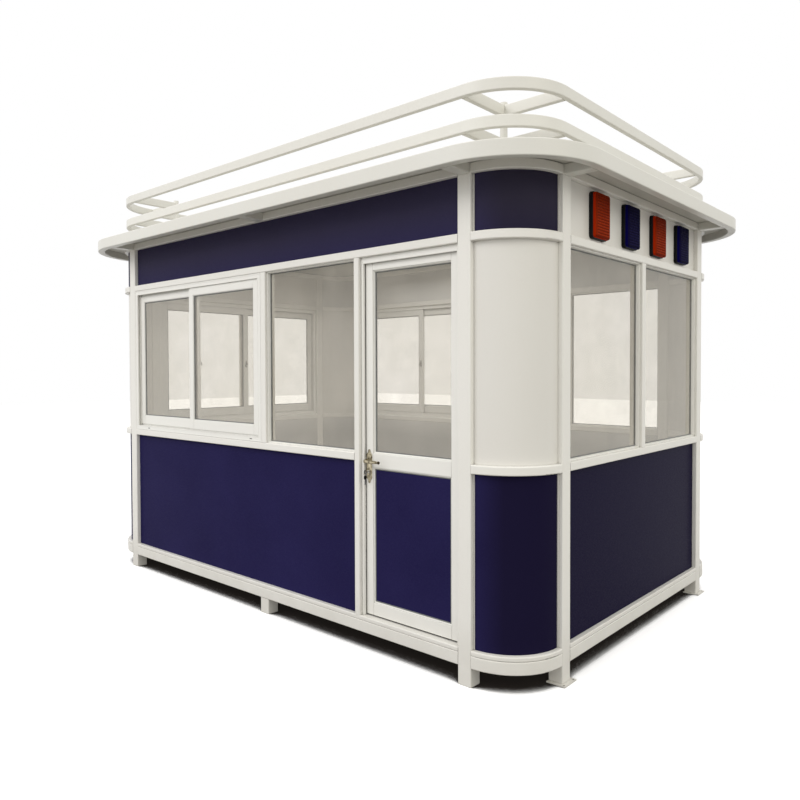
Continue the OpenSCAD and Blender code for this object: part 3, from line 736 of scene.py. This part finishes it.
def add_seal(seal, low, high):
    add_bar(seal, low, high, SEAL_PROUD / 3)


def add_door_head(shape, seal, box, lip):
    """Head of the door's frame with its stop lip, and the seal on the lip."""
    low, high = box
    level = high.z - HEAD_H
    add_bar(shape, (low.x, low.y, level), (high.x, high.y, high.z), EDGE_SOFT)
    add_bar(shape, (low.x + JAMB_W, low.y, low.z), (high.x - JAMB_W, lip, level + JAMB_LAP), EDGE_SOFT)
    middle = (low.z + level) / 2
    add_seal(seal, (low.x + 2 * JAMB_W, lip, middle - SEAL_W / 2),
             (high.x - 2 * JAMB_W, lip + SEAL_PROUD, middle + SEAL_W / 2))


def add_door_jamb(shape, seal, box, lip, top, inward):
    """Jamb with its stop lip, and the seal on the lip; inward is 1 or -1 along X, towards the opening."""
    low, high = box
    back, edge = (low.x, high.x) if inward > 0 else (high.x, low.x)
    jamb = sorted((back, back + inward * JAMB_W))
    nose = sorted((back + inward * (JAMB_W - JAMB_LAP), edge))
    add_bar(shape, (jamb[0], low.y, low.z), (jamb[1], high.y, high.z), EDGE_SOFT)
    add_bar(shape, (nose[0], low.y, low.z), (nose[1], lip, top), EDGE_SOFT)
    middle = (back + inward * JAMB_W + edge) / 2
    add_seal(seal, (middle - SEAL_W / 2, lip, low.z), (middle + SEAL_W / 2, lip + SEAL_PROUD, top))


def make_door_jambs():
    """Jambs and head with their stop lips, and the rubber seal on the lips."""
    shape = bmesh.new()
    seal = bmesh.new()
    low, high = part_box("door_frame")
    lip = low.y + STOP_T
    middle = (low.x + high.x) / 2
    for box in solid_boxes("door_frame"):
        if box[0].x < middle < box[1].x:
            add_door_head(shape, seal, box, lip)
        else:
            add_door_jamb(shape, seal, box, lip, high.z - HEAD_H, 1 if box[0].x < middle else -1)
    finish_piece(shape, "door_jambs", "booth", "window_white", ["door_frame"])
    finish_piece(seal, "door_seal", "booth", "lamp_black")


# Gaskets

GASKET_W = 5 * MM
GASKET_TOP = 3.5 * MM
GASKET_PROUD = 2.5 * MM


def add_gasket(shape, pane, inset, turn):
    """Rubber wedge round both faces of a pane."""
    low, high = pane
    edge = Vector((inset, 0, inset))
    for face, out in ((low.y, -GASKET_PROUD), (high.y, GASKET_PROUD)):
        start = Vector((low.x, face, low.z)) + edge
        profile = [(0, 0), (GASKET_W, 0), (GASKET_TOP, out / 2), (0, out)]
        add_ring(shape, start, high - edge, profile, turn)


def make_gaskets():
    shape = bmesh.new()
    for node, inset in (("fixed_glass", BEAD_W), ("sash_glass", PANE_STEP)):
        for box in solid_boxes(node):
            turn = wall_turn(*box)
            add_gasket(shape, in_wall(box, turn), inset, turn)
    finish_piece(shape, "pane_gaskets", "booth", "lamp_black", material="grey_rubber")
    shape = bmesh.new()
    for node in ("door_glass", "door_panel"):
        add_gasket(shape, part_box(node), DOOR_BEAD_W, Matrix())
    finish_piece(shape, "door_gasket", "door", "lamp_black", material="grey_rubber")


# Handle and lock: outlines and sections in millimetres

# Outline of a handle plate by the level from its middle: straight sides, a drawn-in neck and a round tip,
# whose two sides stay apart at its very end
PLATE_LEVELS = (-94.8, -93, -90.5, -88, -86, -83, -79, -75, -71, -67, -60)
PLATE_HALF_W = 20
PLATE_STRAIGHT = 67
NECK_LEVEL = 86
NECK_HALF_W = 5
NECK_CURVE = 1.6
TIP_LEVEL = 89
TIP_R = 6
TIP_GAP = 0.1

# Rings of a handle plate: shares of its width and height, and the height over the leaf
PLATE_RINGS = ((1, 1, 0), (1, 1, 4.2), (0.94, 0.985, 5.5), (0.88, 0.97, 6.0), (0.74, 0.66, 6.0),
               (0.70, 0.63, 5.2))
PLATE_T = 6 * MM
PLATE_SCREW = 64 * MM
SCREW_HEAD = ((3.6, -0.5), (3.6, 0.4), (2.6, 1.1), (0.3, 1.4))
ROSETTE = ((15, 5.5), (15, 7), (13.5, 8.5), (11.5, 9))
ESCUTCHEON = ((12.5, 5.5), (12.5, 6.8), (11.5, 7.6), (9.5, 7.8))

# A lever: (distance from the leaf, radius) up to its bend, then the bend, the grip and the knob
LEVER_NECK = ((0, 10), (9.5, 10), (10, 12), (13, 12.4), (16, 11), (22, 9))
LEVER_BEND = 16 * MM
LEVER_BEND_R = 9 * MM
LEVER_BEND_SWELL = 2.2 * MM
LEVER_BEND_STEPS = 6
LEVER_OUT = 45.5 * MM
LEVER_GRIP = 104 * MM
GRIP_R = 7.6 * MM
GRIP_SWELL = 1.9 * MM
GRIP_TAPER = 1 * MM
GRIP_STEPS = 9
KNOB = ((103, 6.4), (105, 7.2), (109, 8.4), (113, 8.0), (116, 5.6), (117.5, 1.5))

KEY_OUT = 26 * MM
KEY_IN = 3 * MM
KEY_BOW_LAP = 10 * MM
KEY_HALF_T = 1.1 * MM
KEY_HALF_W = 4 * MM
KEY_BOW = ((4, -1.2), (11.5, -1.2), (12.5, 0), (11.5, 1.2), (4, 1.2), (3.4, 0))
KEY_RING_R = 11 * MM
KEY_RING_T = 1.0 * MM
KEY_RING_SIDES = 32
KEY_HEAD_DROP = 8 * MM
KEY_HEAD_RINGS = ((0.8, -2.8), (1, -1.6), (1, 1.6), (0.8, 2.8))
KEY_HEAD_HALF_W = 10.5 * MM
KEY_HEAD_HALF_H = 12.5 * MM
BLADE_DROP = 11 * MM
BLADE_HALF_W = 4.2 * MM
BLADE_L = 30 * MM


def plate_half_width(level):
    """Half the width of a handle plate at a level from its middle, both in millimetres."""
    far = abs(level)
    if far <= PLATE_STRAIGHT:
        return PLATE_HALF_W
    if far <= NECK_LEVEL:
        share = (far - PLATE_STRAIGHT) / (NECK_LEVEL - PLATE_STRAIGHT)
        return NECK_HALF_W + (PLATE_HALF_W - NECK_HALF_W) * (1 - share) ** NECK_CURVE
    return max(TIP_R ** 2 - (far - TIP_LEVEL) ** 2, TIP_GAP) ** 0.5


def plate_ring(wide, tall, height):
    """Points once round a handle plate at a height over the leaf."""
    levels = [*PLATE_LEVELS, *(-level for level in reversed(PLATE_LEVELS))]
    right = [(wide * plate_half_width(level), tall * level, height) for level in levels]
    left = [(-across, up, height) for across, up, height in reversed(right)]
    return in_mm(right + left)


def handle_turn(outside):
    """Turn that brings (across, up, out of the leaf) to one face of the door."""
    face = Matrix.Rotation(pi / 2, 4, "X")
    return face if outside else Matrix.Rotation(pi, 4, "Z") @ face


def make_handle_plates():
    """Plates with a pointed outline and a sunk field, rosettes round spindle and lock, and screws."""
    shape = bmesh.new()
    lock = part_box("lock_cylinder")
    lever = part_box("levers")
    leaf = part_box("door_leaf")
    lock_z = (lock[0].z + lock[1].z) / 2
    lever_z = (lever[0].z + lever[1].z) / 2
    for low, high in solid_boxes("handle_plates"):
        outside = low.y < leaf[0].y
        middle = Vector(((low.x + high.x) / 2, high.y if outside else low.y, (low.z + high.z) / 2))
        turn = Matrix.Translation(middle) @ handle_turn(outside)
        add_loft(shape, [plate_ring(*ring) for ring in PLATE_RINGS], turn)
        for profile, level in ((ROSETTE, lever_z), (ESCUTCHEON, lock_z)):
            add_lathe(shape, in_mm(profile), turn @ Matrix.Translation((0, level - middle.z, 0)))
        for level in (-PLATE_SCREW, PLATE_SCREW):
            spot = turn @ Matrix.Translation((0, level, PLATE_T))
            add_lathe(shape, in_mm(SCREW_HEAD), spot, SMALL_ROUND_SIDES)
    finish_piece(shape, "handle_plate_faces", "door", "handle_bronze", ["handle_plates"])


def lever_stations():
    """Stations along a lever, from the leaf out, round the bend and along the grip."""
    stations = [(Vector((0, out, 0)), radius) for out, radius in in_mm(LEVER_NECK)]
    centre = Vector((LEVER_BEND, LEVER_OUT - LEVER_BEND, 0))
    for i in range(LEVER_BEND_STEPS + 1):
        share = i / LEVER_BEND_STEPS
        angle = pi - pi / 2 * share
        point = centre + LEVER_BEND * Vector((cos(angle), sin(angle), 0))
        stations.append((point, LEVER_BEND_R + LEVER_BEND_SWELL * sin(pi * share)))
    for i in range(1, GRIP_STEPS + 1):
        share = i / GRIP_STEPS
        along = LEVER_BEND + share * (LEVER_GRIP - LEVER_BEND)
        radius = GRIP_R + GRIP_SWELL * sin(pi * share) - GRIP_TAPER * share
        stations.append((Vector((along, LEVER_OUT, 0)), radius))
    return stations


def make_levers():
    """Two cranked lever handles on one spindle, with darker knobs at their ends."""
    shape = bmesh.new()
    knobs = bmesh.new()
    low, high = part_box("levers")
    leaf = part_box("door_leaf")
    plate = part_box("handle_plates")
    axis = Vector(((plate[0].x + plate[1].x) / 2, 0, (low.z + high.z) / 2))
    knob = [(Vector((along, LEVER_OUT, 0)), radius) for along, radius in in_mm(KNOB)]
    for face, turn in ((leaf[0].y, Matrix.Rotation(pi, 4, "X")), (leaf[1].y, Matrix())):
        put = Matrix.Translation((axis.x, face, axis.z)) @ turn
        add_sweep(shape, lever_stations(), put)
        add_sweep(knobs, knob, put)
    finish_piece(shape, "lever_grips", "lever", "handle_bronze", ["levers"])
    finish_piece(knobs, "lever_knobs", "lever", "handle_bronze", material="bronze_dark")


def make_keys():
    """Key in the outer lock, a ring through its bow, and a second key with a dark head on the ring."""
    steel = bmesh.new()
    dark = bmesh.new()
    low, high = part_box("lock_cylinder")
    axis = Vector(((low.x + high.x) / 2, low.y, (low.z + high.z) / 2))
    bow = axis - Vector((0, KEY_OUT, 0))
    add_bar(steel, axis - Vector((KEY_HALF_T, KEY_OUT - KEY_BOW_LAP, KEY_HALF_W)),
            axis + Vector((KEY_HALF_T, KEY_IN, KEY_HALF_W)), FINE_SOFT)
    across = Matrix.Rotation(pi / 2, 4, "Y")
    add_lathe(steel, in_mm(KEY_BOW), Matrix.Translation(bow) @ across, hollow=True)
    loop = [(KEY_RING_R + KEY_RING_T * cos(a), KEY_RING_T * sin(a))
            for a in angles_round(SMALL_ROUND_SIDES)]
    hung = bow - Vector((0, 0, KEY_RING_R))
    facing = Matrix.Rotation(pi / 2, 4, "X")
    add_lathe(steel, loop, Matrix.Translation(hung) @ facing, KEY_RING_SIDES, hollow=True)
    head = hung - Vector((0, 0, KEY_RING_R + KEY_HEAD_DROP))
    oval = [[(depth * MM, KEY_HEAD_HALF_W * size * p.x, KEY_HEAD_HALF_H * size * p.y) for p in circle(1.0)]
            for size, depth in KEY_HEAD_RINGS]
    add_loft(dark, oval, Matrix.Translation(head))
    blade = head - Vector((0, 0, BLADE_DROP))
    add_bar(steel, blade - Vector((KEY_HALF_T, BLADE_HALF_W, BLADE_L)),
            blade + Vector((KEY_HALF_T, BLADE_HALF_W, 0)), FINE_SOFT)
    finish_piece(steel, "lock_keys", "door", "lock_steel")
    finish_piece(dark, "key_head", "door", "lamp_black")


# Hinges

FLAP_T = 2.5 * MM
FLAP_TALL = 42 * MM
FLAP_SCREW_STEP = 12 * MM
FLAP_SCREW_IN = 12 * MM


def make_hinge_screws(node, body, name):
    """Two screws in each flap of the hinges on one body, on the room side."""
    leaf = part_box("door_leaf")
    shape = bmesh.new()
    for low, high in solid_boxes(node):
        along = high.x - FLAP_SCREW_IN if body == "booth" else low.x + FLAP_SCREW_IN
        level = low.z + FLAP_TALL / 2 if body == "booth" else high.z - FLAP_TALL / 2
        for step in (-FLAP_SCREW_STEP, FLAP_SCREW_STEP):
            spot = Matrix.Translation((along, leaf[1].y + FLAP_T, level + step))
            turn = spot @ Matrix.Rotation(-pi / 2, 4, "X")
            add_lathe(shape, in_mm(SCREW_HEAD), turn, SMALL_ROUND_SIDES)
    finish_piece(shape, name, body, "lock_steel")


# Corners and roof

STRIP_GAP = 1 * MM
STRIP_W = 5 * MM
STRIP_PROUD = 8 * MM
STRIP_ROOT = 2 * MM
STRIP_END = 1 * MM
BOLT_CIRCLE = 40 * MM
BOLTS = 4
BOLT_TURN_RADIANS = 1.0
HEX_SIDES = 6
WASHER = ((9.5, 0), (9.5, 1.2), (8.8, 1.8))
BOLT_HEAD = ((9.0, 1.6), (9.0, 6.6), (8.2, 7.6))
FLANGE_T = 8 * MM
SEAM_STEP = 1.08
SEAM_END = 60 * MM
SEAM_SECTION = ((-16, -1), (-16, 1.2), (-11, 2.2), (-8, 4.5), (8, 4.5), (11, 2.2), (16, 1.2), (16, -1))
SEAM_T = 4.5 * MM
SEAM_RIVETS = 15


def make_corner_strips():
    """Ivory edging down both sides of the curved navy panels."""
    shape = bmesh.new()
    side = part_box("side_posts")[1].x
    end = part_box("end_posts")[1].y
    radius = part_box("corner_navy_panels")[1].x - side
    near, far = STRIP_GAP, STRIP_GAP + STRIP_W
    section = [(near, -STRIP_ROOT), (near, STRIP_PROUD - EDGE_SOFT), (near + EDGE_SOFT, STRIP_PROUD),
               (far - EDGE_SOFT, STRIP_PROUD), (far, STRIP_PROUD - EDGE_SOFT), (far, -STRIP_ROOT)]
    for low, high in solid_boxes("corner_navy_panels"):
        sign_x = 1 if low.x + high.x > 0 else -1
        sign_y = 1 if low.y + high.y > 0 else -1
        for from_side in (True, False):
            outline = []
            for run, out in section:
                angle = run / radius if from_side else pi / 2 - run / radius
                x = side + (radius + out) * cos(angle)
                y = end + (radius + out) * sin(angle)
                outline.append((sign_x * x, sign_y * y))
            levels = (low.z + STRIP_END, high.z - STRIP_END)
            add_loft(shape, [[(x, y, level) for x, y in outline] for level in levels])
    finish_piece(shape, "corner_strips", "booth", "panel_white")


def make_flange_bolts():
    """Four hex bolts on washers in the foot of each upright of the roof rails, each turned its own way."""
    shape = bmesh.new()
    for low, high in solid_boxes("hoop_uprights"):
        middle = Vector(((low.x + high.x) / 2, (low.y + high.y) / 2, low.z + FLANGE_T))
        for i in range(BOLTS):
            angle = pi / 4 + 2 * pi * i / BOLTS
            spot = middle + BOLT_CIRCLE * Vector((cos(angle), sin(angle), 0))
            turn = Matrix.Translation(spot) @ Matrix.Rotation(i * BOLT_TURN_RADIANS, 4, "Z")
            add_lathe(shape, in_mm(WASHER), turn, SMALL_ROUND_SIDES)
            add_lathe(shape, in_mm(BOLT_HEAD), turn, HEX_SIDES)
    finish_piece(shape, "flange_bolts", "booth", "lock_steel")


def make_roof_seams():
    """Lapped seams of the roof sheets, sealed along both edges, with rivets."""
    shape = bmesh.new()
    low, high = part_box("roof_deck")
    ends = (low.y + SEAM_END, high.y - SEAM_END)
    for step in (-1, 0, 1):
        along = (low.x + high.x) / 2 + step * SEAM_STEP
        section = [(along + x, high.z + z) for x, z in in_mm(SEAM_SECTION)]
        add_loft(shape, [[(x, y, z) for x, z in section] for y in ends])
        for i in range(SEAM_RIVETS):
            y = ends[0] + (i + 0.5) * (ends[1] - ends[0]) / SEAM_RIVETS
            spot = Matrix.Translation((along, y, high.z + SEAM_T))
            add_lathe(shape, in_mm(SCREW_HEAD), spot, SMALL_ROUND_SIDES)
    finish_piece(shape, "roof_seams", "booth", "roof_white", material="roof_dust")


# Lamps: rings of (inset, distance out of the wall) and the section of a rib, in millimetres

CASE_R = 20 * MM
CASE_RINGS = ((0, 0), (0, 17), (1.5, 20.5), (4, 22))
LENS_R = 15.5 * MM
LENS_RINGS = ((0, 0), (0, 21), (1.5, 26), (5, 29), (10, 30))
LEAST_R = 1 * MM
CORNER_STEPS = 6
RIB_STEP = 15 * MM
RIB_SECTION = ((-6, -1), (-6, 0), (-3.6, 1.4), (0, 2), (3.6, 1.4), (6, 0), (6, -1))
RIB_IN = 14 * MM


def rounded_outline(low, high, radius, inset, depth):
    """Points round an upright rectangle in a wall, with rounded corners, at a depth."""
    radius = max(radius - inset, LEAST_R)
    corners = ((high.x, high.z, 1, 1), (low.x, high.z, -1, 1),
               (low.x, low.z, -1, -1), (high.x, low.z, 1, -1))
    points = []
    for i, (x, z, side, rise) in enumerate(corners):
        centre = Vector((x - side * (inset + radius), depth, z - rise * (inset + radius)))
        for k in range(CORNER_STEPS + 1):
            angle = (i + k / CORNER_STEPS) * pi / 2
            points.append(centre + radius * Vector((cos(angle), 0, sin(angle))))
    return points


def add_rounded_body(shape, low, high, radius, rings, turn):
    """Body with rounded corners that stands out of a wall."""
    outlines = [rounded_outline(low, high, radius, inset, high.y - out) for inset, out in in_mm(rings)]
    add_loft(shape, outlines, turn)


def make_lamp_cases():
    """Black lamp backs with rounded corners and a soft rim."""
    shape = bmesh.new()
    for box in solid_boxes("lamp_housings"):
        turn = wall_turn(*box)
        add_rounded_body(shape, *in_wall(box, turn), CASE_R, CASE_RINGS, turn)
    finish_piece(shape, "lamp_cases", "booth", "lamp_black", ["lamp_housings"])


def make_lenses(node, name, slot):
    """Domed lenses with ribs across their fronts."""
    shape = bmesh.new()
    for box in solid_boxes(node):
        turn = wall_turn(*box)
        low, high = in_wall(box, turn)
        add_rounded_body(shape, low, high, LENS_R, LENS_RINGS, turn)
        face = high.y - LENS_RINGS[-1][1] * MM
        ends = (low.x + RIB_IN, high.x - RIB_IN)
        count = int((high.z - low.z - 2 * RIB_IN) / RIB_STEP)
        for i in range(count + 1):
            level = (low.z + high.z) / 2 + (i - count / 2) * RIB_STEP
            section = [(face - out, level + z) for z, out in in_mm(RIB_SECTION)]
            add_loft(shape, [[(x, y, z) for y, z in section] for x in ends], turn)
    finish_piece(shape, name, "booth", slot, [node])


# Stage: floor, world, lights and camera

FLOOR_SIDE = 60.0
FLOOR_DROP = 0.5 * MM
FLOOR_SHOWN = (1.0, 1.0, 1.0, 1.0)
FLOOR_SHADE = (0.02, 0.017, 0.015, 1.0)
FLOOR_BOUNCE = (0.30, 0.29, 0.27, 1.0)
FLOOR_LIFT = 0.35
SHADE_REACH = 500
SHADE_SAMPLES = 16
SHADE_DARK = 0.36
SHADE_CLEAR = 0.5
SKY_WHITE = (1.0, 1.0, 1.0, 1.0)


def background_share(tree):
    """1 for rays that show the backdrop to the camera, in a mirror or through glass."""
    path = add(tree, "LightPath")
    seen = path.outputs["Is Camera Ray"]
    for name in ("Is Glossy Ray", "Is Transmission Ray"):
        seen = add(tree, "Math", {0: seen, 1: path.outputs[name]}, operation="MAXIMUM").outputs[0]
    return seen


def floor_finish():
    """White ground that goes dark only close under the booth, by a painted shadow, and gives little light
    back to it.
    """
    material = empty_material("floor")
    material.cycles.emission_sampling = "NONE"
    tree = material.node_tree
    open_sky = open_share(tree, SHADE_REACH, SHADE_SAMPLES)
    # Painted shadow: the ground goes dark where the booth closes it in.
    shown = ramp(tree, open_sky, (SHADE_DARK, FLOOR_SHADE), (SHADE_CLEAR, FLOOR_SHOWN))
    tone = blend_colour(tree, background_share(tree), FLOOR_BOUNCE, shown)
    surface = add(tree, "BsdfDiffuse", {"Color": tone}).outputs["BSDF"]
    lift = product(tree, add(tree, "LightPath").outputs["Is Camera Ray"], FLOOR_LIFT)
    glow = add(tree, "Emission", {"Color": shown, "Strength": lift}).outputs["Emission"]
    shader = add(tree, "AddShader", {0: surface, 1: glow}).outputs["Shader"]
    return close_material(material, shader)


def add_floor():
    half = FLOOR_SIDE / 2
    mesh = bpy.data.meshes.new("floor")
    corners = [(-half, -half, 0), (half, -half, 0), (half, half, 0), (-half, half, 0)]
    mesh.from_pydata(corners, [], [(0, 1, 2, 3)])
    mesh.materials.append(floor_finish())
    floor = bpy.data.objects.new("floor", mesh)
    floor.location.z = -FLOOR_DROP
    bpy.context.scene.collection.objects.link(floor)


def add_world():
    world = bpy.data.worlds.new("world")
    bpy.context.scene.world = world
    world.use_nodes = True
    tree = world.node_tree
    tree.nodes.clear()
    shader = add(tree, "Background", {"Color": SKY_WHITE, "Strength": 1.0}).outputs[0]
    output = add(tree, "OutputWorld")
    tree.links.new(shader, output.inputs["Surface"])


def add_soft_light(name, place_at, target, side, watts, colour):
    data = bpy.data.lights.new(name, "AREA")
    data.shape = "SQUARE"
    data.size = side
    data.energy = watts
    data.color = colour
    light = bpy.data.objects.new(name, data)
    light.location = place_at
    light.rotation_euler = (Vector(target) - Vector(place_at)).to_track_quat("-Z", "Y").to_euler()
    bpy.context.scene.collection.objects.link(light)


def add_lights():
    """A key light before the long wall, a warmer one before the lamp end and a weak one in the room."""
    add_soft_light("key_light", place_at=(-2.0, -8.5, 8.0), target=(0, -1.0, 1.4), side=5.0,
                   watts=360, colour=(1.0, 0.98, 0.98))
    add_soft_light("end_light", place_at=(9.5, -2.0, 6.5), target=(1.8, 0, 1.4), side=5.0,
                   watts=152, colour=(1.0, 0.95, 0.76))
    add_soft_light("room_light", place_at=(-0.2, 0, 2.45), target=(-0.2, 0, 0), side=2.0,
                   watts=17, colour=(0.98, 0.98, 1.0))


def add_camera():
    forward = Vector((-sin(CAMERA_YAW) * cos(CAMERA_PITCH), cos(CAMERA_YAW) * cos(CAMERA_PITCH),
                      sin(CAMERA_PITCH)))
    level = Vector((cos(CAMERA_YAW), sin(CAMERA_YAW), 0))
    plumb = level.cross(forward)
    right = cos(CAMERA_ROLL) * level + sin(CAMERA_ROLL) * plumb
    up = cos(CAMERA_ROLL) * plumb - sin(CAMERA_ROLL) * level
    data = bpy.data.cameras.new("camera")
    data.sensor_width = SENSOR_MM
    data.lens = FOCAL_PIXELS / PICTURE_SIDE * SENSOR_MM
    data.shift_x = (PICTURE_SIDE / 2 - CENTRE_PIXEL[0]) / PICTURE_SIDE
    data.shift_y = (CENTRE_PIXEL[1] - PICTURE_SIDE / 2) / PICTURE_SIDE
    camera = bpy.data.objects.new("camera", data)
    turn = Matrix((right, up, -forward)).transposed().to_4x4()
    camera.matrix_world = Matrix.Translation(CAMERA_PLACE) @ turn
    bpy.context.scene.collection.objects.link(camera)
    bpy.context.scene.camera = camera


dress_nodes()
make_sashes()
make_slide_frames()
make_glazing_beads()
make_gaskets()
make_latches()
make_door_leaf()
make_door_jambs()
make_door_sweep()
make_handle_plates()
make_levers()
make_keys()
make_hinge_screws("hinge_pins", "booth", "hinge_screws_fixed")
make_hinge_screws("hinge_barrels", "door", "hinge_screws_leaf")
make_corner_strips()
make_flange_bolts()
make_roof_seams()
make_lamp_cases()
make_lenses("red_lenses", "red_lens_caps", "lens_red")
make_lenses("blue_lenses", "blue_lens_caps", "lens_blue")
add_floor()
add_world()
add_lights()
add_camera()
bpy.context.scene.view_settings.view_transform = "Standard"
